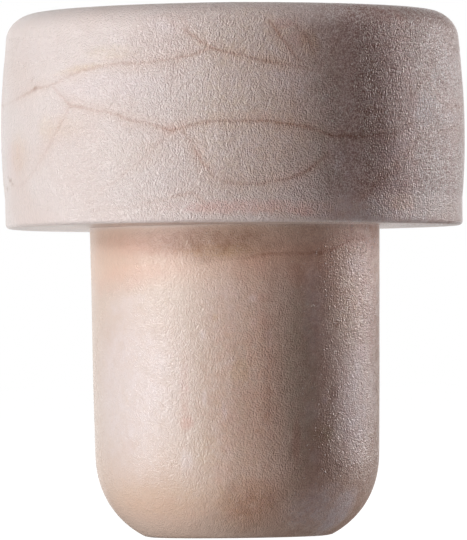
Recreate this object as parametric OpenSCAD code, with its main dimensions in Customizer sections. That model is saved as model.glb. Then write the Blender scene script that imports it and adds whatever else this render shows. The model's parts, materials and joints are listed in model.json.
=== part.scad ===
// T-shaped bottle stopper, moulded as one piece, in millimetres.
// Z is the turning axis. Z = 0 is the flat end of the shank, and the head is on top.

/* [Head] */
// Largest diameter of the head, at the fullest point of its belly
head_d = 31.2; // [26:0.1:45]
// Height of the head, underside to flat top
head_h = 14.45; // [10:0.05:24]
// Radius of the belly arc of the head's wall, seen in section
belly_r = 45; // [30:0.5:200]
// Height of the belly's fullest point above the underside
belly_up = 6.4; // [4:0.1:9]
// Height of the straight land at the foot of the wall
land_h = 1.9; // [1:0.1:3.5]
// Radius of the roll between the wall and the flat top
roll_r = 2.05; // [0.8:0.05:4]
// Radius of the small round on the head's lower edge
edge_r = 0.3; // [0.1:0.05:0.8]

/* [Shank] */
// Diameter of the shank where it leaves the head
shank_d = 19.5; // [15:0.1:24]
// Length of the shank, head's underside to its flat end
shank_l = 20.75; // [12:0.05:40]
// Draft of the shank, degrees a side, narrower towards the end
draft = 0.75; // [0.1:0.05:2]
// Radius of the rounded nose
nose_r = 6; // [3:0.1:6.8]
// Height of the nose's round that the flat end cuts off
nose_cut = 0.6; // [0:0.1:2]

/* [Hidden] */
$fn = 240;

// an arc passes its neighbour by this much, so that the two cross cleanly
lap = 0.004;
// cutting shapes reach this far past what they cut
past = 5;

total_h = shank_l + head_h;
head_r = head_d / 2;
neck_r = shank_d / 2;

// centre of the belly arc, and the wall's radius where the arc meets the land
belly_x = head_r - belly_r;
belly_z = shank_l + belly_up;
land_r = belly_x + sqrt(pow(belly_r, 2) - pow(belly_up - land_h, 2));

// centre of the roll, which touches the belly arc from inside and the flat top
roll_gap = belly_r - roll_r + lap;
roll_z = total_h - roll_r;
roll_x = belly_x + sqrt(pow(roll_gap, 2) - pow(roll_z - belly_z, 2));
roll_a = asin((roll_z - belly_z) / roll_gap);

// centre of the nose's round, which touches the drafted wall from inside
nose_z = nose_r - nose_cut;
nose_x = neck_r - (shank_l - nose_z) * tan(draft) - (nose_r - lap) / cos(draft);

// everything right of the axis in the head's height, from a step above the underside
module head_band(step = 0) {
    translate([0, shank_l + step]) square([head_r + past, head_h - step]);
}

// belly arc above, straight land below
module head_wall() {
    translate([belly_x, belly_z]) circle(r = belly_r);
    translate([0, shank_l]) square([land_r, land_h]);
}

// the head's band with its top corner taken off and filled by the roll
module rolled_top() {
    reach = head_r + head_h + past;
    difference() {
        head_band();
        polygon([
            [roll_x, roll_z],
            [roll_x + reach * cos(roll_a), roll_z + reach * sin(roll_a)],
            [roll_x + reach, total_h + reach],
            [roll_x, total_h + reach]
        ]);
    }
    translate([roll_x, roll_z]) circle(r = roll_r);
}

// the head's band with its lower corner taken off and filled by the small round
module rounded_foot() {
    head_band(step = edge_r);
    translate([0, shank_l]) square([land_r - edge_r, head_h]);
    translate([land_r - edge_r, shank_l + edge_r]) circle(r = edge_r);
}

module head_section() {
    intersection() {
        head_band();
        union() head_wall();
        union() rolled_top();
        union() rounded_foot();
    }
}

// drafted shank with its rounded nose; its top stands in the head, so the two are one
module shank_section() {
    root = edge_r + 1;
    intersection() {
        polygon([
            [0, 0],
            [neck_r - shank_l * tan(draft), 0],
            [neck_r, shank_l],
            [neck_r, shank_l + root],
            [0, shank_l + root]
        ]);
        union() {
            translate([0, nose_z]) square([neck_r + past, shank_l + root]);
            square([nose_x, shank_l]);
            translate([nose_x, nose_z]) circle(r = nose_r);
        }
    }
}

module stopper() {
    color([0.76, 0.66, 0.60])
        rotate_extrude()
            union() {
                head_section();
                shank_section();
            }
}

stopper();
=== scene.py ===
"""A T-shaped bottle stopper, moulded whole in cork-coloured foam, standing on its shank in a studio."""
import json
import math
from functools import partial

import bpy
import numpy as np
from mathutils import Matrix, Vector, noise


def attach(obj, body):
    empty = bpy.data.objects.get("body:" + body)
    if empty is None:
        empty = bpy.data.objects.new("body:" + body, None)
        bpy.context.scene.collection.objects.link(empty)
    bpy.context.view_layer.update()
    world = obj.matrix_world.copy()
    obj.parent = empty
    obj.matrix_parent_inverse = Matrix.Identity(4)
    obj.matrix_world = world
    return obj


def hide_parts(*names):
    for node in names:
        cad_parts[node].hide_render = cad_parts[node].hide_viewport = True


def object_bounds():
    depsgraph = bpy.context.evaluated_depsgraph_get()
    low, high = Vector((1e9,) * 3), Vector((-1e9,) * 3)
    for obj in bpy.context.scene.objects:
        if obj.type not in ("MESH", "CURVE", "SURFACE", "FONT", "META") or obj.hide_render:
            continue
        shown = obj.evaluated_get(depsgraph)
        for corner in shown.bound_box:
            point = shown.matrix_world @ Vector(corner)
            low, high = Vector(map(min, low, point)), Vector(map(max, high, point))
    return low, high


MM = 0.001

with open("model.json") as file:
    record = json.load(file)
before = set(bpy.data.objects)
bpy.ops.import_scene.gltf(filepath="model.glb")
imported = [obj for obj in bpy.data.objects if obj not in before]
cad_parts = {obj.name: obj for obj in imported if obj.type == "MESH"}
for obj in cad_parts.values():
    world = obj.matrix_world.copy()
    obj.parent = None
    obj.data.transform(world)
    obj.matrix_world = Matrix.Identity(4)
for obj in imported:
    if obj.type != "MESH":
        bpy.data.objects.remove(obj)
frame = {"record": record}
cad_low, cad_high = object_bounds()

# ---------------------------------------------------------------------------
# sizes, in millimetres: what the frame gives, and the section's own values
# ---------------------------------------------------------------------------

TOP = cad_high.z / MM
WIDEST = (cad_high.x - cad_low.x) / MM / 2
UNDERSIDE = next(m["pos_m"][2] for m in frame["record"]["mounts"] if m["name"] == "lip_seat") / MM

BELLY_RADIUS = 45.0
BELLY_HEIGHT = UNDERSIDE + 6.4
LAND_HEIGHT = 1.9
ROLL_RADIUS = 2.05
FOOT_RADIUS = 0.3
NECK = 9.75
DRAFT = math.radians(0.75)
NOSE_RADIUS = 6.0
NOSE_CUT = 0.6

# the soft corner of the flat end: how far in it starts, a point on it as (mm in, mm up), and how many
# degrees of the nose's round it takes
END_ROUND = 0.25
END_MIDDLE = (0.1, 0.02)
END_TURN = 1.6

# heights this near each other count as one, and a spot this near the top's or the end's height is on it
NEAR = 0.01
FLAT = 0.1

# steps of the mesh along each stretch of the section, from the middle of the flat end upwards
STEPS = {
    "end": 9,
    "nose": 26,
    "shank": 64,
    "seat": 12,
    "foot": 6,
    "land": 8,
    "wall": 44,
    "roll": 14,
    "top": 50,
}


def belly(height):
    """Radius of the head's bellied wall at a height."""
    return WIDEST - BELLY_RADIUS + math.sqrt(BELLY_RADIUS**2 - (height - BELLY_HEIGHT) ** 2)


def arc(centre, radius, start, stop, steps):
    """Points of an arc in the section, angles in degrees from straight out, upwards positive."""
    return [
        (centre[0] + radius * math.cos(math.radians(a)), centre[1] + radius * math.sin(math.radians(a)))
        for a in np.linspace(start, stop, steps)
    ]


def line(start, stop, steps):
    """Points of a straight stretch of the section, without its last one."""
    return [
        (start[0] + (stop[0] - start[0]) * i / steps, start[1] + (stop[1] - start[1]) * i / steps)
        for i in range(steps)
    ]


def stopper_section():
    """The half section from the middle of the flat end up to the middle of the flat top."""
    nose_z = NOSE_RADIUS - NOSE_CUT
    nose_x = NECK - (UNDERSIDE - nose_z) * math.tan(DRAFT) - NOSE_RADIUS / math.cos(DRAFT)
    end_angle = math.degrees(math.asin(-nose_z / NOSE_RADIUS))
    end_x = nose_x + NOSE_RADIUS * math.cos(math.radians(end_angle))
    shank_foot = (nose_x + NOSE_RADIUS * math.cos(DRAFT), nose_z - NOSE_RADIUS * math.sin(DRAFT))
    land = belly(UNDERSIDE + LAND_HEIGHT)
    roll_z = TOP - ROLL_RADIUS
    roll_x = (
        WIDEST
        - BELLY_RADIUS
        + math.sqrt((BELLY_RADIUS - ROLL_RADIUS) ** 2 - (roll_z - BELLY_HEIGHT) ** 2)
    )
    roll_angle = math.degrees(math.asin((roll_z - BELLY_HEIGHT) / (BELLY_RADIUS - ROLL_RADIUS)))

    nose_stop = -math.degrees(DRAFT)
    foot = (land - FOOT_RADIUS, UNDERSIDE + FOOT_RADIUS)
    wall_top = roll_z + ROLL_RADIUS * math.sin(math.radians(roll_angle))
    wall_heights = np.linspace(UNDERSIDE + LAND_HEIGHT, wall_top, STEPS["wall"])[:-1]

    points = line((0.0, 0.0), (end_x - END_ROUND, 0.0), STEPS["end"])
    points += [(end_x - END_ROUND, 0.0), (end_x - END_MIDDLE[0], END_MIDDLE[1])]
    points += arc((nose_x, nose_z), NOSE_RADIUS, end_angle + END_TURN, nose_stop, STEPS["nose"])[:-1]
    points += line(shank_foot, (NECK, UNDERSIDE), STEPS["shank"])
    points += line((NECK, UNDERSIDE), (foot[0], UNDERSIDE), STEPS["seat"])
    points += arc(foot, FOOT_RADIUS, -90, 0, STEPS["foot"])
    points += line((land, foot[1]), (land, UNDERSIDE + LAND_HEIGHT), STEPS["land"])[1:]
    points += [(belly(z), z) for z in wall_heights]
    points += arc((roll_x, roll_z), ROLL_RADIUS, roll_angle, 90, STEPS["roll"])
    points += line((roll_x, TOP), (0.0, TOP), STEPS["top"])[1:]
    return points


# ---------------------------------------------------------------------------
# the stopper's mesh
# ---------------------------------------------------------------------------

SIDES = 400

# the mould's low waves, in mm: how far in from the section they reach, and their two lengths
WAVE_DEPTH = 0.03
WAVE_LONG = 7.0
WAVE_SHORT = 3.1
# the walls that wave and stray begin this far out, so the flat end and top stay flat
WALL_START = 8.5
# mm that the shank sits off the middle, and that the head's foot and its top lean in front
SHANK_OFFSET = 0.03
FOOT_LEAN = 0.12
TOP_LEAN = 0.11

# where the moulding strays from the turned section: (degrees round, mm up, degrees wide, mm tall, mm out)
STRAYS = [
    (-70, 34.2, 45, 1.1, 0.10),
    (75, 33.7, 26, 1.5, 0.09),
    (0, 4.2, 400, 2.6, -0.035),
    (120, 27.0, 50, 5.0, -0.03),
    (-150, 12.0, 60, 5.0, -0.025),
    (-90, 8.5, 50, 8.0, 0.045),
]


def strayed(verts):
    """The skin as it left the mould: the rim's slight lean, the shank's offset, low waves and strays."""
    x, y, z = verts.T
    turn = np.arctan2(x, -y)
    out = np.hypot(x, y)
    degrees = np.degrees(turn)
    front = (1 + np.cos(turn)) / 2
    head = np.clip((z - UNDERSIDE) / (TOP - UNDERSIDE), 0, 1)
    on_head = z > UNDERSIDE - NEAR

    push = np.zeros(len(verts))
    for deg, up, wide, tall, amount in STRAYS:
        off = (degrees - deg + 180) % 360 - 180
        push += amount * np.exp(-((off / wide) ** 2) - ((z - up) / tall) ** 2)
    waves = np.array([noise.noise(Vector(v) / WAVE_LONG) for v in verts])
    waves += 0.5 * np.array([noise.noise(Vector(v) / WAVE_SHORT) for v in verts])
    push -= WAVE_DEPTH * np.clip(0.4 + 0.6 * waves, 0, 1)
    wall = np.clip(out - WALL_START, 0, 1)
    scale = 1 + push * wall / np.maximum(out, 1)
    x, y = x * scale, y * scale

    lean = np.where(on_head, -FOOT_LEAN * (1 - head) * np.sin(turn), 0) * front
    lean -= np.where(on_head, TOP_LEAN * head * np.maximum(np.sin(turn), 0), 0) * front
    z = z + lean * np.clip((out - NECK) / 2, 0, 1)
    x = x + np.where(on_head, 0, SHANK_OFFSET)
    return np.stack([x, y, z], axis=-1)


def stopper_mesh():
    """The section turned round the middle, with the corner under the head kept sharp, and marked."""
    rings = stopper_section()[1:]
    radii = np.array([p[0] for p in rings])
    heights = np.array([p[1] for p in rings])
    turn = np.linspace(0, 2 * math.pi, SIDES, endpoint=False)
    x = radii[:, None] * np.sin(turn)[None]
    y = -radii[:, None] * np.cos(turn)[None]
    z = np.repeat(heights[:, None], SIDES, axis=1)
    wall = np.stack([x, y, z], axis=-1).reshape(-1, 3)
    turned = np.vstack([[[0.0, 0.0, 0.0]], wall, [[0.0, 0.0, TOP]]])

    count = len(rings)
    faces = []
    for side in range(SIDES):
        nxt = (side + 1) % SIDES
        faces.append((0, 1 + nxt, 1 + side))
        for ring in range(count - 1):
            low, high = 1 + ring * SIDES, 1 + (ring + 1) * SIDES
            faces.append((low + side, low + nxt, high + nxt, high + side))
        last = 1 + (count - 1) * SIDES
        faces.append((last + side, last + nxt, len(turned) - 1))

    mesh = bpy.data.meshes.new("stopper_skin")
    mesh.from_pydata((strayed(turned) * MM).tolist(), [], faces)
    mesh.update()
    mesh.shade_smooth()

    corner = int(np.argmin(np.hypot(radii - NECK, heights - UNDERSIDE)))
    ends = np.zeros(2 * len(mesh.edges), dtype=np.int32)
    mesh.edges.foreach_get("vertices", ends)
    on_corner = (ends - 1) // SIDES == corner
    sharp = mesh.attributes.new("sharp_edge", "BOOLEAN", "EDGE")
    sharp.data.foreach_set("value", on_corner.reshape(-1, 2).all(axis=1))
    mark_skin(mesh, turned)
    return mesh


# ---------------------------------------------------------------------------
# the skin's marks: lines where two fronts of the melt met, patches of bloom and stain, and patches of
# painted shade and painted light
# ---------------------------------------------------------------------------

# Lines that touch each other are in different groups. A point is (degrees round, mm up, strength from 0
# to 1) on the wall or shank, and (mm across, mm back, strength) on the top.
FRONT_LINES = {
    "a": [
        [(-78, 29.0, 0.11), (-68, 29.25, 0.17), (-62, 29.5, 0.39), (-57, 29.85, 0.5), (-50, 30.05, 0.28),
         (-45, 30.45, 0.25), (-40, 30.85, 0.33), (-34, 31.1, 0.33), (-28, 31.25, 0.36), (-20, 31.25, 0.36),
         (-14, 31.45, 0.47), (-9, 31.75, 0.43), (-5, 32.1, 0.68)],
        [(-43, 28.55, 0.28), (-46, 27.6, 0.19), (-50, 26.4, 0.22), (-54, 25.2, 0.17), (-58, 24.4, 0.14),
         (-62, 23.85, 0.17), (-68, 23.45, 0.08), (-73, 23.6, 0.17)],
        [(-15, 26.7, 0.26), (-20, 25.5, 0.19), (-26, 24.35, 0.17), (-30, 23.5, 0.17), (-35, 22.7, 0.11),
         (-40, 21.7, 0.06)],
        [(32, 22.2, 0.48), (36, 23.0, 0.84), (40, 23.75, 0.96), (43, 24.4, 0.72), (46, 25.1, 0.84),
         (50, 25.9, 0.84), (53, 26.6, 0.6), (58, 26.75, 0.3), (66, 26.85, 0.3), (72, 27.0, 0.35),
         (84, 27.1, 0.3), (100, 27.6, 0.4), (118, 26.9, 0.6), (135, 27.8, 0.5), (150, 29.6, 0.6),
         (165, 30.3, 0.6), (180, 30.0, 0.5), (195, 30.4, 0.4), (212, 29.6, 0.5), (228, 29.9, 0.5),
         (245, 29.2, 0.4), (262, 29.0, 0.3), (280, 29.0, 0.2)],
        [(56, 30.6, 0.48), (59, 29.7, 0.3), (62, 29.1, 0.4), (66, 28.65, 0.5), (70, 28.55, 0.6),
         (78, 28.6, 0.4), (90, 28.9, 0.4), (104, 29.7, 0.4), (116, 30.8, 0.3), (124, 32.2, 0.3),
         (130, 33.8, 0.2)],
        [(9.5, 33.8, 0.6), (11, 33.2, 0.84), (13, 32.5, 0.72), (15, 31.75, 0.6), (17, 31.25, 0.36)],
        [(-8, 18.4, 0.1), (0, 18.5, 0.25), (8, 18.65, 0.6), (13, 18.75, 0.7), (20, 18.8, 0.55),
         (30, 18.8, 0.6), (36, 18.85, 0.65), (41, 19.05, 0.6), (45, 19.3, 0.6), (52, 19.65, 0.6),
         (60, 19.8, 0.5), (70, 19.95, 0.45), (78, 20.0, 0.4), (95, 19.7, 0.32), (120, 19.2, 0.4),
         (150, 18.8, 0.4), (180, 18.6, 0.32), (205, 18.7, 0.08)],
    ],
    "b": [
        [(-16, 34.1, 0.11), (-12, 33.4, 0.43), (-9, 32.85, 0.6), (-5, 32.1, 0.77), (-1, 31.8, 0.68),
         (3, 31.6, 0.6), (8, 31.25, 0.6), (12, 31.05, 0.54), (17, 30.85, 0.36), (21, 30.6, 0.24)],
        [(-50, 30.05, 0.17), (-46, 29.2, 0.28), (-43, 28.55, 0.44), (-38, 28.35, 0.33), (-32, 28.1, 0.39),
         (-26, 27.55, 0.44), (-20, 27.2, 0.41), (-15, 26.75, 0.77), (-11, 27.1, 0.6), (-5, 27.35, 0.6),
         (3, 27.35, 0.64), (9, 27.3, 0.8), (14, 27.1, 0.8), (20, 26.8, 0.75), (26, 26.35, 0.75),
         (31, 26.3, 0.75), (36, 26.5, 0.8), (41, 26.55, 0.84), (45, 26.9, 0.72), (48, 27.25, 0.48)],
        [(118, 26.9, 0.5), (128, 25.6, 0.4), (140, 24.3, 0.5), (152, 23.4, 0.4), (166, 23.0, 0.3),
         (180, 23.5, 0.2)],
        [(69, 5.5, 0.5), (71, 6.1, 1.0), (74, 6.8, 0.9), (77, 7.5, 0.6), (82, 8.2, 0.2)],
        [(48, 34.3, 0.36), (48.5, 33.3, 0.48), (47.5, 32.4, 0.36)],
    ],
    "c": [
        [(-12, 26.8, 0.43), (-10, 25.9, 0.43), (-8.5, 25.2, 0.6), (-7, 24.5, 0.6), (-5, 23.8, 0.34),
         (-2, 23.4, 0.43), (3, 23.25, 0.38), (9, 23.4, 0.6), (14, 23.65, 0.72), (18, 24.05, 0.84),
         (21, 24.7, 0.6), (23.5, 25.3, 0.36)],
        [(-36, 21.65, 0.08), (-25, 21.85, 0.14), (-19, 22.2, 0.19), (-14, 22.55, 0.43),
         (-10, 22.7, 0.43), (-8, 22.2, 0.34), (-6, 21.7, 0.17)],
        [(46, 28.6, 0.24), (50, 29.3, 0.84), (53, 29.9, 0.84), (57, 30.5, 0.48), (59, 31.2, 0.4),
         (60, 32.4, 0.3), (61, 33.6, 0.1)],
        [(16, 33.6, 0.48), (19, 32.75, 0.6), (20.5, 31.85, 0.48), (21, 31.0, 0.24)],
        [(33, 27.95, 0.36), (38, 28.05, 0.48), (43, 27.95, 0.48), (47, 27.35, 0.36)],
        [(28, 33.3, 0.24), (26, 32.3, 0.36), (24.5, 31.6, 0.24)],
        [(150, 29.6, 0.4), (158, 28.6, 0.6), (170, 27.6, 0.6), (186, 27.0, 0.6), (202, 26.2, 0.5),
         (216, 25.9, 0.6), (232, 25.1, 0.5), (246, 24.6, 0.4), (262, 24.0, 0.3), (274, 23.8, 0.2)],
    ],
}
TOP_LINES = {
    "a": [
        [(-4.0, -12.6, 0.3), (-4.6, -9.8, 0.5), (-3.6, -6.6, 0.6), (-4.9, -3.4, 0.5), (-3.2, 0.6, 0.6),
         (-4.4, 4.1, 0.4), (-6.9, 6.6, 0.3), (-8.2, 9.9, 0.1)],
    ],
    "b": [
        [(11.2, -6.2, 0.2), (9.6, -5.4, 0.4), (7.3, -5.1, 0.5), (4.2, -3.9, 0.5), (1.0, -4.7, 0.6),
         (-2.0, -5.6, 0.5), (-3.6, -6.6, 0.5)],
        [(9.9, 8.3, 0.2), (8.4, 6.9, 0.4), (6.0, 5.9, 0.5), (3.1, 3.7, 0.5), (0.2, 2.7, 0.5),
         (-3.2, 0.6, 0.4)],
    ],
    "c": [
        [(4.2, -3.9, 0.4), (5.0, -1.2, 0.4), (4.1, 1.3, 0.3), (3.1, 3.7, 0.4)],
    ],
}

# Patches: (degrees round, mm up, degrees wide, mm tall, mm of rise to each 10 degrees, strength).
SKIN_PATCHES = {
    # a dull pale film that the mould leaves, cooler than the foam under it; where it lies on the key's and
    # the rim's gloss its pale colour is partly painted highlight, and on the lower right of the head and
    # the nose it is painted light from below
    "bloom_and_painted_light": [
        (-32, 29.75, 18, 1.0, 0.1, 0.6), (-2, 30.0, 12, 1.1, 0, 0.5), (13, 30.1, 9, 0.9, 0, 0.7),
        (3.5, 29.9, 1.4, 0.5, 0, 1.0), (13, 30.4, 1.0, 0.4, 0, 1.0), (16, 29.3, 1.2, 0.4, 0, 1.0),
        (23, 28.9, 0.9, 0.3, 0, 1.0), (26, 24.4, 1.0, 0.35, 0, 1.0), (28.6, 23.8, 0.8, 0.3, 0, 1.0),
        (-2, 25.4, 3, 0.6, 0, 0.5), (34, 28.7, 1.4, 0.4, 0, 0.8), (43.5, 23.4, 1.2, 0.4, 0, 0.8),
        (-16, 33.6, 6, 0.6, -0.5, 0.6), (-46, 23.0, 9, 1.1, 0, 0.25), (-33, 22.6, 7, 0.8, 0, 0.25),
        (15, 23.6, 6, 0.6, 0.2, 0.5), (29, 25.3, 6, 1.1, 0, 0.6), (44.5, 25.7, 6.5, 0.75, 1.6, 1.0),
        # (32, 21.6) at this line's end and (40.5, 22.3) on the next are painted light from below on the
        # head's lower band
        (54.5, 28.2, 5, 1.0, 0, 1.0), (68, 27.9, 9, 0.6, 0, 0.6), (32, 21.6, 16, 0.8, 0, 0.9),
        (40.5, 22.3, 3, 0.5, 0, 0.7), (36, 28.8, 3, 0.5, 0, 0.4),
        (-60, 32.4, 16, 1.2, 0, 0.35), (-24, 32.6, 12, 1.0, 0, 0.3), (72, 31.5, 10, 1.6, 0, 0.4),
        # (-48, 10.0) here lies on the key's gloss and is partly painted highlight
        (-48, 10.0, 29, 6.4, 0.22, 0.62), (-50, 15.5, 16, 0.9, 0.3, 0.5), (-21, 5.2, 3, 1.1, 0, 0.45),
        (-13, 13.5, 1.6, 0.4, 0, 0.55), (-13, 9.4, 1.4, 0.7, 0, 0.5), (-5, 8.5, 1.1, 1.0, -3.0, 0.6),
        (6.5, 15.8, 2.6, 0.35, -0.4, 0.5), (6.5, 14.3, 1.8, 0.35, 0, 0.45), (13, 13.2, 1.6, 0.9, 0, 0.4),
        # (55, 8.6) here, and (61, 12.1) and (70, 9.0) on the next line, lie on the rim's gloss and are
        # partly painted highlight
        (-4, 15.2, 11, 3.0, 0, 0.35), (32, 15.0, 6, 3.4, 0, 0.5), (55, 8.6, 12, 3.8, 0, 0.7),
        (61, 12.1, 6, 0.8, 0, 0.7), (54.5, 11.4, 2.5, 0.4, 0, 0.6), (70, 9.0, 8, 2.6, 0, 0.5),
        # (43, 3.3), (55, 1.6) and (40, 2.0) here are painted light from below on the nose's right
        (43, 3.3, 8, 0.5, 0, 0.45), (55, 1.6, 10, 1.5, 0, 1.0), (40, 2.0, 19, 1.6, 0, 0.6),
        (0, 26.0, 8, 3.0, 0, 0.35), (-4, 31.0, 11, 2.0, 0, 0.3), (-5, 9.0, 8, 8.0, 0, 0.3),
        (33, 5.3, 4, 0.6, 0, 0.4), (31, 8.3, 4, 0.8, 0, 0.4), (37, 9.1, 1.8, 0.3, 0, 0.5),
        (58, 18.0, 10, 0.8, 0, 0.5), (-64, 8.8, 3, 0.8, 0, 0.4), (-54, 11.6, 2.5, 1.0, 0, 0.4),
        (120, 24.5, 16, 2.0, 0.3, 0.5), (160, 31.8, 18, 1.1, 0, 0.6), (205, 28.2, 16, 0.9, -0.2, 0.8),
        (240, 31.5, 20, 1.2, 0, 0.4), (110, 10.0, 20, 5.0, 0, 0.5), (160, 14.0, 14, 2.6, 0, 0.5),
        (215, 8.0, 24, 4.2, 0, 0.6), (178, 6.0, 6, 1.6, 0, 0.7),
    ],
    # reddish brown, where the colour paste was drawn out; the bands under the head and round the nose's
    # bottom are painted shade
    "rust_and_shade": [
        (4, 21.75, 19, 0.5, 0, 0.85), (17, 21.55, 4, 0.4, 0, 0.9), (-15, 26.85, 3, 0.4, 0, 0.5),
        (13, 33.7, 3, 0.45, 0, 0.5), (16.5, 32.7, 2.5, 0.6, 0, 0.5), (40, 30.2, 3, 0.9, 0, 0.6),
        (38, 28.9, 2, 0.9, 0, 0.6), (33, 23.5, 3, 1.3, 0, 0.35), (26, 31.0, 4, 1.8, 0, 0.3),
        (6, 27.7, 4, 0.5, 0, 0.4), (-8, 25.4, 2.5, 0.9, 0, 0.35), (-70, 25.4, 10, 1.6, 0, 0.4),
        (8, 25.5, 9, 1.4, 0, 0.3), (50, 31.8, 12, 1.8, 0, 0.3), (50, 24.2, 12, 1.4, 0, 0.3),
        # this line and the next: painted shade under the head's overhang, partly a brown band
        (-22, 19.6, 40, 1.0, 0.03, 0.75), (30, 19.7, 30, 0.9, 0.03, 0.3), (64, 19.7, 20, 1.4, 0, 0.8),
        (-50, 17.3, 34, 1.1, 0.25, 0.45),
        (-21, 9.5, 2.5, 3.4, 0, 0.5), (-20.5, 7.7, 3, 0.5, 0, 0.9), (-6, 4.3, 5, 1.1, 0, 0.5),
        (24, 6.5, 2, 1.5, 0, 0.8), (25, 17.2, 6, 1.0, 0, 0.5), (46, 16.0, 7, 1.3, 0, 0.6),
        # (-40, 1.9) and (5, 2.6) here are painted shade on the nose's bottom
        (-40, 1.9, 40, 1.3, 0, 0.35), (5, 2.6, 17, 2.2, 0, 0.5), (-49, 6.2, 5, 0.7, 0, 0.3),
        (14, 8.5, 3, 2.0, 0, 0.4), (56, 27.6, 21, 6.5, 0, 0.35), (55, 9.5, 18, 8.5, 0, 0.45),
        (64, 14.8, 16, 4.4, 0, 0.8), (44, 28.8, 8, 7.0, 0, 0.9), (46, 24.0, 9, 3.5, 0, 0.7),
        (26, 21.5, 20, 0.9, 0, 0.25),
        (2, 10.5, 20, 9.0, 0, 0.5), (9, 11.5, 8, 8.0, 0, 0.6),
        (150, 22.0, 22, 0.6, 0, 0.6), (225, 23.0, 10, 1.3, 0, 0.5), (190, 32.6, 6, 0.7, 0, 0.6),
        # (165, 18.9) here is painted shade under the head, and (200, 3.0) is painted shade on the nose's
        # bottom, round the back
        (165, 18.9, 50, 0.9, 0, 0.6), (200, 3.0, 50, 1.4, 0, 0.5), (140, 8.0, 4, 2.0, 0, 0.6),
    ],
    # darker brown stains; the broad ones on the right and in the shade band, and those under the head and
    # on the nose's bottom, are painted shade
    "umber_and_shade": [
        (40.5, 30.05, 1.9, 0.75, 0, 0.9), (25, 30.3, 2.6, 0.4, 0, 0.6), (12, 33.2, 2, 0.4, -0.8, 0.2),
        # (42, 30.2) here, and (40, 28.6), (42, 24.2) and (74, 9.5) on the next line, are painted shade on
        # the right side
        (20, 32.4, 3, 0.9, 0, 0.2), (26, 33.0, 12, 0.8, 0, 0.15), (42, 30.2, 6.5, 4.4, 0, 0.95),
        (40, 28.6, 9, 4.6, 0, 0.85), (42, 24.2, 8, 1.9, 0, 0.5), (74, 9.5, 14, 9.0, 0, 0.7),
        (74, 33.4, 10, 1.6, 0, 0.6), (68, 21.5, 16, 1.1, 0, 0.8), (51, 32.6, 7, 2.0, 0, 0.8),
        (21, 29.6, 2.5, 0.4, 0, 0.4),
        (31, 26.35, 4, 0.25, 0, 0.7),
        (34.5, 29.9, 1.5, 0.4, 0, 0.7), (34, 27.8, 1.8, 0.4, 0, 0.5), (24, 23.0, 1.5, 0.7, 0, 0.5),
        (50, 33.6, 13, 0.9, 0, 0.5), (48, 21.4, 4, 0.8, 0, 0.4),
         (70, 23.5, 7, 1.2, 0, 0.3), (14, 25.3, 3, 1.2, 0, 0.3),
        (38, 29.2, 2.6, 0.8, 0, 0.6), (51.5, 29.6, 2, 0.35, 0.6, 0.6), (-57.2, 29.85, 1.0, 0.2, 0, 1.0),
        (-58.6, 30.5, 1.0, 0.2, 1.6, 0.55), (-74, 23.9, 2.4, 0.16, -0.9, 1.0),
        (-78.5, 23.3, 1.6, 0.14, 0, 1.0), (-66, 26.0, 5, 0.9, 0, 0.12), (37, 26.75, 1.2, 0.3, 0, 0.6),
        # (-40, 19.9), (78, 19.9) and (-12, 18.6) here, and (-10, 19.6) and (34, 18.7) on the next line, are
        # painted shade under the head; (6, 2.2) there is painted shade on the nose's bottom
        (-40, 19.9, 55, 0.7, 0, 0.5), (78, 19.9, 18, 0.8, 0, 0.6), (-12, 18.6, 9, 0.5, 0, 0.5),
        (-10, 19.6, 34, 1.0, 0, 0.66), (6, 2.2, 18, 2.4, 0, 0.5), (34, 18.7, 4, 0.3, 0, 0.6),
        (34, 6.7, 4.5, 0.7, 0, 0.5), (42.5, 9.7, 2.2, 0.7, 0, 0.7), (45, 4.7, 2.4, 0.5, 0, 0.6),
        (69, 4.6, 2, 0.5, 0, 0.7), (62, 3.6, 14, 0.8, 0, 0.25), (-31, 8.7, 2, 0.4, 0, 0.35),
        # (22, 9.5) and (15, 11.5) here, and (53, 11.0) on the next line, are partly painted shade on the
        # shank, in the shade band and on the rim's gloss
        (44, 14.1, 3, 0.35, 0, 0.5), (22, 9.5, 5, 7.0, 0, 0.26), (15, 11.5, 6, 8.0, 0, 0.45),
        (53, 11.0, 9, 8.0, 0, 0.3),
        (17, 10.9, 1.4, 0.5, 0, 0.6),
        (53, 10.4, 2, 0.5, 0, 0.5), (-34, 13.6, 3, 0.5, -1.2, 0.3), (72, 3.5, 9, 1.2, 0, 0.5),
        (138, 24.2, 4, 0.4, -0.8, 0.6), (222, 26.0, 2, 0.4, 0, 0.8), (200, 31.0, 3, 0.6, 0, 0.4),
        (150, 5.5, 4, 0.8, 0, 0.6), (236, 12.0, 3, 0.7, 0, 0.5),
    ],
    # yellow ochre, thin paste over the foam; on the nose's bottom and under the head it is a painted warm
    # tint of shade
    "ochre_and_shade": [
        (-66, 25.6, 6, 1.7, 0, 0.5), (-46, 27.2, 9, 0.9, 0, 0.4), (-52, 27.2, 4, 1.0, 0, 0.5),
        (15, 26.0, 6, 0.9, 0, 0.5), (46, 22.1, 6, 0.6, 0, 0.8),
        (-31, 32.0, 9, 0.6, 0, 0.5), (-40, 31.0, 10, 0.3, 0.3, 0.6), (12, 33.1, 6, 0.7, 0, 0.5),
        (19, 32.5, 3.5, 1.1, 0, 0.6), (-25, 25.2, 12, 1.4, 0, 0.3), (4, 28.3, 9, 0.5, 0, 0.4),
        # (-36, 2.6) here and (2, 2.6) on the next line are a painted warm tint of shade on the nose's
        # bottom
        (1.5, 11.05, 4.6, 0.85, 0, 1.0), (-8, 14.6, 1.3, 0.35, 0, 0.8), (-36, 2.6, 40, 1.5, 0, 0.5),
        (4, 28.5, 17, 8.0, 0, 0.55), (2, 9.5, 20, 9.0, 0, 0.45), (2, 2.6, 18, 2.0, 0, 0.6),
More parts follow.
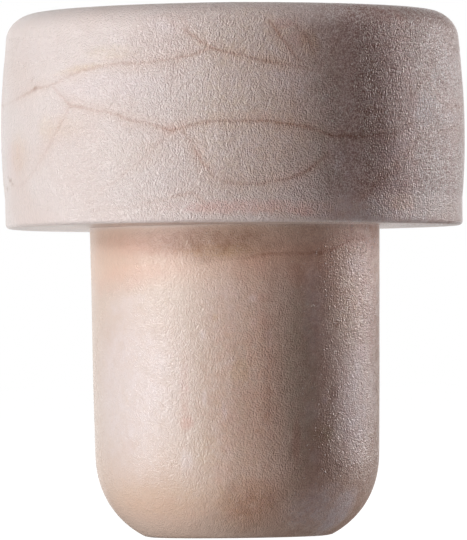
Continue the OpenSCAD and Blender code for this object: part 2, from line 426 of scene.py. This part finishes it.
        (22, 21.5, 26, 0.9, 0, 0.45), (50, 15.2, 11, 2.4, 0, 0.7), (36, 6.9, 6, 0.7, 0, 0.7),
        (-10, 6.0, 9, 1.8, 0, 0.5),
        # (-6, 19.0) is a painted warm tint of shade under the head, and (56, 2.4) is one on the nose's
        # bottom
        (-6, 19.0, 17, 0.5, 0, 0.7), (56, 2.4, 20, 0.8, 0, 0.25),
        (130, 31.0, 10, 1.4, 0, 0.5), (210, 21.9, 16, 0.6, 0, 0.6), (180, 12.0, 8, 2.0, 0, 0.5),
    ],
    # greenish grey, where the skin is thinnest; under the head and in the shade band of the shank it is
    # partly painted shade
    "olive_and_shade": [
        # (-6, 19.6) here is painted shade under the head, and (26, 10.5) is partly painted shade in the
        # shade band
        (26, 10.5, 9, 8.0, 0, 0.6), (24, 27.5, 8, 7.0, 0, 0.5), (-6, 19.6, 22, 1.0, 0, 0.6),
        (34, 16.8, 5, 0.8, 0, 0.3), (38, 6.9, 5, 0.6, 0, 0.5),
        (27, 24.6, 8, 1.6, 0, 0.35), (16, 25.2, 6, 1.2, 0, 0.35), (24, 3.4, 6, 1.4, 0, 0.5),
        (36, 28.5, 9, 6.5, 0, 0.45),
        (190, 16.0, 7, 2.5, 0, 0.5), (236, 6.0, 8, 2.0, 0, 0.4),
    ],
}

# the same on the top: (mm across, mm back, mm wide, mm deep, strength)
TOP_PATCHES = {
    "bloom_and_painted_light": [
        (0.5, -1.4, 3.4, 2.0, 0.8), (-8.0, -3.0, 3.2, 4.5, 0.5), (6.5, 0.6, 2.6, 3.4, 0.6),
        (-6.5, 8.0, 3.0, 2.4, 0.5), (4.0, 8.6, 4.0, 2.4, 0.5), (2.5, -9.5, 4.5, 2.0, 0.45),
    ],
    "rust_and_shade": [(-4.1, -5.4, 1.2, 0.9, 0.8), (8.6, 5.4, 1.9, 1.2, 0.5), (-1.0, 6.5, 2.4, 1.0, 0.4)],
    "umber_and_shade": [(4.4, -3.8, 0.7, 0.4, 0.9), (-9.6, 3.6, 1.3, 0.7, 0.5), (-3.4, 0.9, 0.6, 0.5, 0.7)],
    "ochre_and_shade": [(-1.6, -9.4, 3.0, 1.6, 0.5), (8.5, -2.0, 2.0, 1.6, 0.5), (-5.6, 4.6, 2.0, 1.4, 0.5)],
    "olive_and_shade": [(1.5, 5.2, 2.2, 1.6, 0.35)],
}

# a line is cut into steps this long, which wander this far, and is felt this far to each side, in mm
LINE_STEP = 0.8
LINE_WANDER = 0.05
LINE_REACH = 1.2
# the random seed of a group's first line
LINE_SEED = 40

# a patch has faded out at this many times its size, and those on the wall end this far under the top
PATCH_EDGE = 1.5
PATCH_TOP_GAP = 0.4

# how much the specks stand out, at degrees round: none on the side facing the key lamp, and most in the
# shade band and where the rim lamp grazes, as the specks drawn in colour are partly painted shade and
# painted glints
GRAIN = [(-180, 0.5), (-110, 0.4), (-88, 0.0), (-34, 0.04), (-14, 0.26), (8, 0.27), (19, 0.38), (25, 0.65),
         (31, 0.9), (36, 1.0), (42, 0.85), (48, 0.95), (76, 1.0), (94, 0.6), (115, 0.5), (180, 0.5)]
# the flat top and the flat end are even: how much the specks stand out there, how far out each flat
# reaches, and over how many mm it eases in
EVEN_GRAIN = 0.4
TOP_FLAT = 13.2
END_FLAT = 6.1
FLAT_EASE = 2.0


def wall_radius(heights):
    """Radius of the head's wall above the underside, and of the shank below it."""
    section = stopper_section()
    head = [(z, r) for r, z in section if UNDERSIDE + NEAR < z < TOP - NEAR]
    shank = [(z, r) for r, z in section if NEAR < z <= UNDERSIDE and r <= NECK]
    on_head = np.interp(heights, *zip(*head))
    on_shank = np.interp(heights, *zip(*shank))
    return np.where(heights > UNDERSIDE, on_head, on_shank)


def line_path(points, on_top, seed):
    """A front line's points in space with their strengths, cut into short steps that wander a little."""
    points = np.array(points, dtype=float)
    if on_top:
        place = np.stack([points[:, 0], points[:, 1], np.full(len(points), TOP)], axis=-1)
    else:
        turn = np.radians(points[:, 0])
        out = wall_radius(points[:, 1])
        place = np.stack([out * np.sin(turn), -out * np.cos(turn), points[:, 1]], axis=-1)
    rng = np.random.default_rng(seed)
    path = [np.append(place[0], points[0, 2])]
    for i in range(len(place) - 1):
        span = np.linalg.norm(place[i + 1] - place[i])
        steps = max(1, round(span / LINE_STEP))
        for k in range(1, steps + 1):
            t = k / steps
            spot = place[i] + (place[i + 1] - place[i]) * t
            if k < steps:
                spot = spot + rng.normal(0, LINE_WANDER, 3)
            path.append(np.append(spot, points[i, 2] + (points[i + 1, 2] - points[i, 2]) * t))
    return np.array(path)


def lay_lines(spots, normals, group):
    """For each spot of the skin: mm across the nearest line, signed, plain mm to it, and its strength."""
    across = np.full(len(spots), LINE_REACH)
    away = np.full(len(spots), LINE_REACH)
    strength = np.zeros(len(spots))
    paths = [(p, False) for p in FRONT_LINES[group]] + [(p, True) for p in TOP_LINES[group]]
    for number, (points, on_top) in enumerate(paths):
        path = line_path(points, on_top, LINE_SEED + number)
        for start, stop in zip(path[:-1], path[1:]):
            step = stop[:3] - start[:3]
            span = np.linalg.norm(step)
            near = np.where(np.linalg.norm(spots - start[:3], axis=1) < span + LINE_REACH)[0]
            off = spots[near] - start[:3]
            along = np.clip(off @ step / span**2, 0, 1)
            off = off - along[:, None] * step
            off -= (off * normals[near]).sum(axis=1)[:, None] * normals[near]
            gap = np.linalg.norm(off, axis=1)
            closer = gap < away[near]
            which = near[closer]
            side = (off[closer] * np.cross(step / span, normals[which])).sum(axis=1)
            away[which] = gap[closer]
            across[which] = np.where(side < 0, -1, 1) * gap[closer]
            strength[which] = (start[3] + (stop[3] - start[3]) * along)[closer]
    return np.stack([across, away, strength], axis=-1)


def lay_patches(spots, kind):
    """Strength of one kind of patch on each spot of the skin, soft from its middle outwards."""
    degrees = np.degrees(np.arctan2(spots[:, 0], -spots[:, 1]))
    laid = np.zeros(len(spots))
    wall = spots[:, 2] < TOP - PATCH_TOP_GAP
    on_top = spots[:, 2] > TOP - FLAT
    for deg, up, wide, tall, rise, strength in SKIN_PATCHES[kind]:
        off = (degrees - deg + 180) % 360 - 180
        far = np.hypot(off / wide, (spots[:, 2] - up - rise * off / 10) / tall)
        laid = np.maximum(laid, wall * strength * np.clip(PATCH_EDGE - far, 0, 1))
    for across, back, wide, deep, strength in TOP_PATCHES[kind]:
        far = np.hypot((spots[:, 0] - across) / wide, (spots[:, 1] - back) / deep)
        laid = np.maximum(laid, on_top * strength * np.clip(PATCH_EDGE - far, 0, 1))
    return laid


def lay_grain(spots):
    """How much the specks stand out on each spot of the skin."""
    degrees = np.degrees(np.arctan2(spots[:, 0], -spots[:, 1]))
    rough = np.interp(degrees, *zip(*GRAIN))
    out = np.hypot(spots[:, 0], spots[:, 1])
    level = np.where(spots[:, 2] < FLAT, END_FLAT - out, 0)
    level = np.where(spots[:, 2] > TOP - FLAT, TOP_FLAT - out, level)
    return rough + np.clip(level / FLAT_EASE, 0, 1) * (EVEN_GRAIN - rough)


def mark_skin(mesh, spots):
    """Writes the lines, patches and grain on the mesh's points, for the material to draw finely."""
    normals = np.zeros(3 * len(spots), dtype=np.float32)
    mesh.vertices.foreach_get("normal", normals)
    normals = normals.reshape(-1, 3).astype(float)
    marks = {"fronts_" + group: lay_lines(spots, normals, group) for group in FRONT_LINES}
    kinds = {kind: lay_patches(spots, kind) for kind in SKIN_PATCHES}
    marks["film"] = np.stack([kinds["bloom_and_painted_light"], kinds["rust_and_shade"], kinds["umber_and_shade"]], axis=-1)
    head = np.clip((spots[:, 2] - UNDERSIDE) / FLAT + 0.5, 0, 1)
    marks["tone"] = np.stack([kinds["ochre_and_shade"], kinds["olive_and_shade"], head], axis=-1)
    for name, values in marks.items():
        mark = mesh.attributes.new(name, "FLOAT_VECTOR", "POINT")
        mark.data.foreach_set("vector", values.astype(np.float32).ravel())
    grain = mesh.attributes.new("grain", "FLOAT", "POINT")
    grain.data.foreach_set("value", lay_grain(spots).astype(np.float32))


# ---------------------------------------------------------------------------
# materials
# ---------------------------------------------------------------------------


def linear(code):
    """An sRGB hex colour as linear red, green, blue and full alpha."""
    parts = [int(code[i : i + 2], 16) / 255 for i in (1, 3, 5)]
    return [p / 12.92 if p <= 0.04045 else ((p + 0.055) / 1.055) ** 2.4 for p in parts] + [1.0]


def add_node(tree, kind, inputs=None, **settings):
    """Adds one node with its settings, and a value or a link on each input named, and gives its outputs."""
    made = tree.nodes.new("ShaderNode" + kind)
    for name, value in settings.items():
        setattr(made, name, value)
    for key, value in (inputs or {}).items():
        if isinstance(value, bpy.types.NodeSocket):
            tree.links.new(value, made.inputs[key])
        else:
            made.inputs[key].default_value = value
    return made.outputs


# Sizes of the skin's texture, in millimetres. The eroded mould leaves pebbles of about 0.05 mm and the
# paste has specks of about 0.03 mm. Both are too fine to show, so they are as coarse as they need to be.
PEBBLE = 0.095
SPECK = 0.07
GRIT = 0.2
MOTTLE = 0.38
WANDER = 0.5
BLOTCH = 0.55
RAG = 0.8
SWELL = 1.3
CLOUD = 5.0

# mm that a front line wanders over, and the depth of the shank's pebbles
CROOK = 0.36
PEBBLE_DEPTH = 0.035


def torn_patches(node, marks, specks, rag, wander, tearing):
    """How much each kind of patch shows. Its edge is ragged: noise eats into it where it thins out."""
    amounts = {}
    for name, value, torn in (
        ("bloom_and_painted_light", marks["film"][0], rag[0]),
        ("rust_and_shade", marks["film"][1], rag[1]),
        ("umber_and_shade", marks["film"][2], rag[2]),
        ("ochre_and_shade", marks["tone"][0], wander[1]),
        ("olive_and_shade", marks["tone"][1], rag[1]),
    ):
        spread = node("Math", {0: torn, 1: 2.0, 2: -1.2}, operation="MULTIPLY_ADD")[0]
        spread = node("Math", {0: specks[0], 1: 0.4, 2: spread}, operation="MULTIPLY_ADD")[0]
        spread = node("Math", {0: spread, 1: tearing}, operation="MULTIPLY")[0]
        thick = node("Math", {0: value, 1: spread, 2: value}, operation="MULTIPLY_ADD")[0]
        ease = {"Value": thick, "From Min": 0.1, "From Max": 1.0}
        amounts[name] = node("MapRange", ease, interpolation_type="SMOOTHSTEP")["Result"]
    return amounts


def drawn_fronts(node, marks, wander, broken):
    """Where the front lines show: thin, crooked and broken here and there, and their wide faint edge."""
    crook = node("Math", {0: wander[0], 1: CROOK, 2: -CROOK / 2}, operation="MULTIPLY_ADD")[0]
    thin, wide = 0.0, 0.0
    for group in FRONT_LINES:
        across, away, strength = marks["fronts_" + group]
        off = node("Math", {0: across, 1: crook}, operation="ADD")[0]
        off = node("Math", {0: off}, operation="ABSOLUTE")[0]
        nearness = []
        for reach, start, stop in ((off, 0.01, 0.2), (away, 0.3, 0.5), (away, 0.0, 0.9)):
            ease = {"Value": reach, "From Min": start, "From Max": stop, "To Min": 1.0, "To Max": 0.0}
            nearness.append(node("MapRange", ease, interpolation_type="SMOOTHSTEP")["Result"])
        drawn = node("Math", {0: strength, 1: broken}, operation="MULTIPLY")[0]
        for near in nearness[:2]:
            drawn = node("Math", {0: drawn, 1: near}, operation="MULTIPLY")[0]
        edge = node("Math", {0: strength, 1: nearness[2]}, operation="MULTIPLY")[0]
        thin = node("Math", {0: drawn, 1: thin}, operation="MAXIMUM")[0]
        wide = node("Math", {0: edge, 1: wide}, operation="MAXIMUM")[0]
    return thin, wide


def foamed_cork():
    """Thermoplastic foam, moulded: a pebbled skin from the eroded mould, with a low broad gloss that turns
    silvery at a grazing angle, pale where the mould left a film, and thin brown front lines. Shade is
    painted under the head, on the nose's bottom and in the shade band; light is painted where the gloss
    falls and from below, and glints on the grit."""
    mat = bpy.data.materials.new("moulded_foam_cork")
    mat.use_nodes = True
    tree = mat.node_tree
    tree.nodes.clear()
    node = partial(add_node, tree)

    place = node("VectorMath", {0: node("TexCoord")["Object"], "Scale": 1 / MM}, operation="SCALE")[0]
    up = node("SeparateXYZ", {0: place})[2]

    # what is written on the mesh: patches, front lines, and how rough the skin still is
    marks = {}
    for name in ["film", "tone"] + ["fronts_" + group for group in FRONT_LINES]:
        read = node("Attribute", attribute_name=name)
        marks[name] = node("SeparateXYZ", {0: read["Vector"]})
    grain = node("Attribute", attribute_name="grain")["Fac"]
    on_head = marks["tone"][2]

    clouds = {}
    for name, size, detail, rough in (
        ("rag", RAG, 4.0, 0.62),
        ("wander", WANDER, 3.0, 0.6),
        ("blotch", BLOTCH, 3.0, 0.6),
        ("mottle", MOTTLE, 3.0, 0.6),
        ("swell", SWELL, 3.0, 0.5),
        ("cloud", CLOUD, 3.0, 0.5),
    ):
        ask = {"Vector": place, "Scale": 1 / size, "Detail": detail, "Roughness": rough}
        clouds[name] = node("TexNoise", ask)
    rag = node("SeparateColor", {0: clouds["rag"]["Color"]})
    wander = node("SeparateColor", {0: clouds["wander"]["Color"]})
    cells = node("TexVoronoi", {"Vector": place, "Scale": 1 / SPECK})
    specks = node("SeparateColor", {0: cells["Color"]})
    grit = node("TexVoronoi", {"Vector": place, "Scale": 1 / GRIT})
    grit_kind = node("SeparateColor", {0: grit["Color"]})[0]
    pebbles = node(
        "TexVoronoi", {"Vector": place, "Scale": 1 / PEBBLE, "Smoothness": 0.6}, feature="SMOOTH_F1"
    )["Distance"]

    # name, what it reads, the two readings it eases between, and its values there
    eased = {}
    for name, read, start, stop, low, high in (
        # the next two keep the foam's warmer, darker first colour on the nose's bottom and under the head,
        # as painted shade
        ("above_nose_shade", up, 1.0, 7.0, 0.0, 1.0),
        ("below_neck_shade", up, 18.3, 16.0, 0.0, 1.0),
        ("cloud", clouds["cloud"]["Fac"], 0.35, 0.65, 0.0, 1.0),
        ("blotch", clouds["blotch"]["Fac"], 0.36, 0.64, 0.0, 1.0),
        ("pit_shade_speck", specks[1], 0.35, 0.75, 1.0, 0.0),
        ("glint_speck", grit_kind, 0.87, 0.92, 0.0, 1.0),
        ("above_rim", up, UNDERSIDE + 1.0, UNDERSIDE + 2.4, 0.36, 1.0),
        ("shiny_speck", specks[0], 0.75, 0.85, 0.0, 1.0),
        ("tearing", grain, 0.0, 0.3, 0.45, 1.0),
        ("head_depth", grain, 0.4, 1.0, 0.03, 0.015),
        ("broken", wander[2], 0.3, 0.55, 0.45, 1.0),
        ("grit_peak", grit["Distance"], 0.0, 0.42, 1.0, 0.0),
        ("grit_height", grit_kind, 0.5, 1.0, 0.0, 0.06),
    ):
        ease = {"Value": read, "From Min": start, "From Max": stop, "To Min": low, "To Max": high}
        eased[name] = node("MapRange", ease, interpolation_type="SMOOTHSTEP")["Result"]

    amounts = torn_patches(node, marks, specks, rag, wander, eased["tearing"])
    thin, wide = drawn_fronts(node, marks, wander, eased["broken"])

    # how much each colour shows: the specks stand out where the grain is high, in the shade band and where
    # the lamps graze, on the head most of all
    heavy = node("Math", {0: on_head, 1: 0.7, 2: 0.3}, operation="MULTIPLY_ADD")[0]
    lifted = node("Math", {0: grain, 1: heavy}, operation="MULTIPLY")[0]
    speckled = node("Math", {0: grain, 1: eased["above_rim"]}, operation="MULTIPLY")[0]
    dots = node("Math", {0: eased["grit_peak"], 1: grain}, operation="MULTIPLY")[0]
    shows = {}
    for name, one, other in (
        ("paler", eased["above_nose_shade"], eased["below_neck_shade"]),
        ("blotch", eased["blotch"], grain),
        ("pit_shade_speck", eased["pit_shade_speck"], speckled),
        ("glint_speck", eased["glint_speck"], dots),
        ("shiny_speck", eased["shiny_speck"], grain),
        ("grit_height", eased["grit_height"], grain),
    ):
        shows[name] = node("Math", {0: one, 1: other}, operation="MULTIPLY")[0]

    # the foam's own colour and what lies over it, where the ground is lifted to be paler between the dark
    # specks; 6 and 7 are the two colours that a mix takes. The first colour, warmer and darker, is left on
    # the nose's bottom and under the head as partly painted shade, and the patch lists hold more painted
    # shade and light
    colour = linear("#E8CEBD")
    for amount, code, way in (
        # paler in the shank's middle, so that the first colour is left on the nose's bottom and under the
        # head as partly painted shade
        (shows["paler"], "#E3D1C4", "MIX"),
        (on_head, "#EEE2DE", "MIX"),
        (eased["cloud"], "#FCF8F6", "MULTIPLY"),
        (amounts["bloom_and_painted_light"], "#F0E4E3", "MIX"),
        (amounts["rust_and_shade"], "#FDEDEB", "MULTIPLY"),
        (amounts["ochre_and_shade"], "#FEF9EC", "MULTIPLY"),
        (amounts["olive_and_shade"], "#E9F2EC", "MULTIPLY"),
        (amounts["umber_and_shade"], "#DDD2CC", "MULTIPLY"),
        (wide, "#FDF5EF", "MULTIPLY"),
        (thin, "#D8C2B8", "MULTIPLY"),
        (lifted, "#EBE3E0", "DIVIDE"),
        # blotches and dark specks: colour grain that is partly painted shade of the relief; light specks:
        # painted glints on the grit's peaks; all three follow the grain
        (shows["blotch"], "#F1E9E6", "MULTIPLY"),
        (shows["pit_shade_speck"], "#B69C94", "MULTIPLY"),
        (shows["glint_speck"], "#FFFBF8", "MIX"),
    ):
        layer = {"Factor": amount, 6: colour, 7: linear(code)}
        colour = node("Mix", layer, data_type="RGBA", blend_type=way, clamp_result=True)[2]

    # relief in mm: fine round pebbles, deeper on the head, on slow swells, with a slight groove along
    # each line and sparse sharp grains that glint
    domes = node("Math", {0: pebbles, 1: -1.0}, operation="MULTIPLY")[0]
    pebbled = node("Math", {0: clouds["mottle"]["Fac"], 1: 1.1, 2: domes}, operation="MULTIPLY_ADD")[0]
    deep = {0: on_head, 1: eased["head_depth"], 2: PEBBLE_DEPTH}
    depth = node("Math", deep, operation="MULTIPLY_ADD")[0]
    relief = node("Math", {0: pebbled, 1: depth}, operation="MULTIPLY")[0]
    for height, tall in (
        (clouds["swell"]["Fac"], 0.03),
        (thin, -0.008),
        (eased["grit_peak"], shows["grit_height"]),
    ):
        relief = node("Math", {0: height, 1: tall, 2: relief}, operation="MULTIPLY_ADD")[0]
    bump = node("Bump", {"Height": relief, "Strength": 1.0, "Distance": MM})

    # a satin skin, duller under the film and shinier on the bare tops of some specks; the closed cells
    # just under it send back a little more light than solid plastic would
    dull = node("Math", {0: amounts["bloom_and_painted_light"], 1: 0.05, 2: 0.27}, operation="MULTIPLY_ADD")[0]
    gloss = node("Math", {0: shows["shiny_speck"], 1: -0.13, 2: dull}, operation="MULTIPLY_ADD")[0]
    skin = node(
        "BsdfPrincipled",
        {"Base Color": colour, "Roughness": gloss, "Specular IOR Level": 0.78, "Normal": bump[0]},
    )
    node("OutputMaterial", {"Surface": skin[0]})
    return mat


# ---------------------------------------------------------------------------
# studio: camera, lamps, floor and backdrop
# ---------------------------------------------------------------------------

# the camera looks along +Y, a little up, from about the height of the nose
CAMERA_AWAY = 460.0
CAMERA_UP = 11.45
CAMERA_SIDE = -0.086
AIM_UP = 17.87
CAMERA_ROLL = math.radians(-0.73)
LENS = 456.3

# name, degrees right of the camera, degrees up, mm away, mm wide, mm tall, watts, colour, and whether a
# gloss mirrors it: the warm card only tints the shade
LAMPS = [
    ("key_softbox", -60, 0, 400, 170, 425, 1.84, (1, 1, 1), True),
    ("rim_softbox", 123, 0, 400, 165, 400, 1.4, (1.0, 0.96, 0.965), True),
    ("warm_card", 10, 12, 620, 300, 300, 0.182, (1.0, 0.12, 0.06), False),
    ("top_card", 0, 90, 500, 160, 160, 0.7, (1, 1, 1), True),
]

# The backdrop's middle is this far to the left of straight behind. A gloss sees it white within the
# second of these cosines from there, and no more beyond the first.
BACKDROP_TURN = math.radians(12)
BACKDROP_ENDS = 0.8
BACKDROP_FULL = 0.98

# half the table's width in mm, and how strongly its opal sheet glows
TABLE_HALF = 3000
TABLE_GLOW = 0.075


def camera():
    """The camera, rolled a little, with a long lens."""
    data = bpy.data.cameras.new("camera")
    data.lens = LENS
    data.sensor_width = 36.0
    data.clip_start = 0.02
    data.clip_end = 20.0
    seen = bpy.data.objects.new("camera", data)
    bpy.context.collection.objects.link(seen)
    eye = Vector((CAMERA_SIDE, -CAMERA_AWAY, CAMERA_UP)) * MM
    aim = Vector((CAMERA_SIDE, 0.0, AIM_UP)) * MM
    look = (aim - eye).to_track_quat("-Z", "Y").to_matrix().to_4x4()
    seen.matrix_world = Matrix.Translation(eye) @ look @ Matrix.Rotation(CAMERA_ROLL, 4, "Z")
    bpy.context.scene.camera = seen


def softbox(name, turn, lift, away, width, height, watts, colour, mirrored):
    """A soft lamp aimed at the stopper's middle."""
    data = bpy.data.lights.new(name, "AREA")
    data.shape = "RECTANGLE"
    data.size = width * MM
    data.size_y = height * MM
    data.energy = watts
    data.color = colour
    lamp = bpy.data.objects.new(name, data)
    bpy.context.collection.objects.link(lamp)
    turn, lift = math.radians(turn), math.radians(lift)
    level = math.cos(lift)
    middle = Vector((0, 0, TOP / 2))
    place = middle + away * Vector((math.sin(turn) * level, -math.cos(turn) * level, math.sin(lift)))
    lamp.location = place * MM
    lamp.rotation_mode = "QUATERNION"
    lamp.rotation_quaternion = (middle - place).to_track_quat("-Z", "Y")
    lamp.visible_glossy = mirrored


def seen_white(tree, towards):
    """1 for what the camera or clear glass sees, and for what a gloss sees of the backdrop behind the
    stopper; 0 for the light that falls on things."""
    path = add_node(tree, "LightPath")
    level = add_node(tree, "VectorMath", {0: towards}, operation="NORMALIZE")[0]
    backdrop_at = (-math.sin(BACKDROP_TURN), math.cos(BACKDROP_TURN), 0.0)
    behind = add_node(tree, "VectorMath", {0: level, 1: backdrop_at}, operation="DOT_PRODUCT")["Value"]
    ease = {"Value": behind, "From Min": BACKDROP_ENDS, "From Max": BACKDROP_FULL}
    white = add_node(tree, "MapRange", ease, interpolation_type="SMOOTHSTEP")["Result"]
    seen = add_node(tree, "Math", {0: path["Is Glossy Ray"], 1: white}, operation="MULTIPLY")[0]
    for ray in ("Is Camera Ray", "Is Transmission Ray"):
        seen = add_node(tree, "Math", {0: path[ray], 1: seen}, operation="MAXIMUM")[0]
    return seen


def backdrop():
    """A white surround that is seen but hardly lights the stopper."""
    world = bpy.data.worlds.new("studio")
    bpy.context.scene.world = world
    world.use_nodes = True
    tree = world.node_tree
    tree.nodes.clear()
    seen = seen_white(tree, add_node(tree, "TexCoord")["Generated"])
    fill = add_node(tree, "Background", {"Color": linear("#FFD8C8"), "Strength": 0.01})
    white = add_node(tree, "Background", {"Color": linear("#FFFFFF"), "Strength": 1.0})
    mix = add_node(tree, "MixShader", {0: seen, 1: fill[0], 2: white[0]})
    add_node(tree, "OutputWorld", {"Surface": mix[0]})


def floor():
    """The table that the stopper stands on: an opal sheet, seen as white as the surround."""
    half = TABLE_HALF * MM
    corners = [(-half, -half, 0), (half, -half, 0), (half, half, 0), (-half, half, 0)]
    mesh = bpy.data.meshes.new("floor")
    mesh.from_pydata(corners, [], [(0, 1, 2, 3)])
    table = bpy.data.objects.new("floor", mesh)
    bpy.context.collection.objects.link(table)
    # the tall lamps reach below the table's top, as through a sheet of opal acrylic
    table.visible_shadow = False
    mat = bpy.data.materials.new("opal_acrylic_table")
    mat.use_nodes = True
    tree = mat.node_tree
    tree.nodes.clear()
    seen = seen_white(tree, add_node(tree, "TexCoord")["Object"])
    bright = add_node(tree, "Math", {0: seen, 1: TABLE_GLOW}, operation="MAXIMUM")[0]
    surface = add_node(tree, "BsdfDiffuse", {"Color": linear("#7B7B7B")})
    glow = add_node(tree, "Emission", {"Color": linear("#FFFFFF"), "Strength": bright})
    both = add_node(tree, "AddShader", {0: surface[0], 1: glow[0]})
    add_node(tree, "OutputMaterial", {"Surface": both[0]})
    mesh.materials.append(mat)


camera()
for lamp in LAMPS:
    softbox(*lamp)
backdrop()
floor()
bpy.context.scene.view_settings.view_transform = "Standard"

stopper = bpy.data.objects.new("stopper_skin", stopper_mesh())
bpy.context.collection.objects.link(stopper)
stopper.data.materials.append(foamed_cork())
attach(stopper, "root")
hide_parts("stopper")
